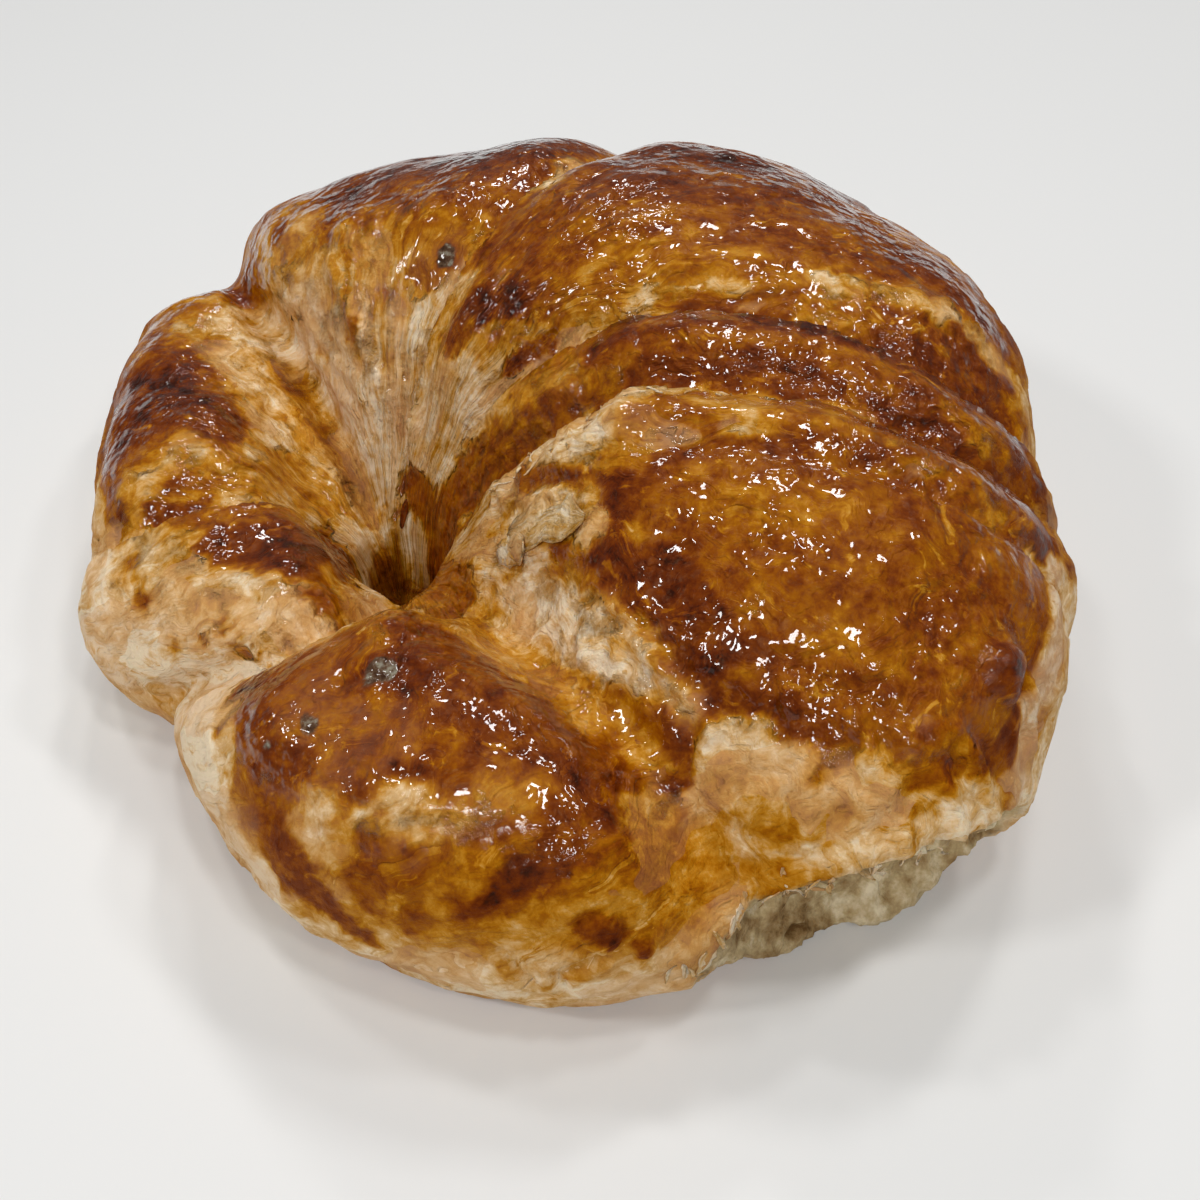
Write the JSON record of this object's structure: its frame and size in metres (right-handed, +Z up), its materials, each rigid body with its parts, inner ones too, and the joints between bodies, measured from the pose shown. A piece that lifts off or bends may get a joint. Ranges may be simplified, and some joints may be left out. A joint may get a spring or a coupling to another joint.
{
  "type": "croissant",
  "caption": "A curled crescent croissant baked as one piece, its two arms bent round to meet, with seams between its rolled layers, resting on its flat underside.",
  "frame": {"origin": "centre of the bounding box, on the flat underside that rests on the table", "axes": "+Z up from the table; +Y from the front, where the front arm and the torn tuck are, to the back; +X from the two meeting arm tips towards the fat middle"},
  "size_m": [0.1408, 0.1436, 0.0562],
  "materials": {
    "crust": "gloss"
  },
  "bodies": {
    "root": {"croissant": "crust"}
  },
  "joints": []
}
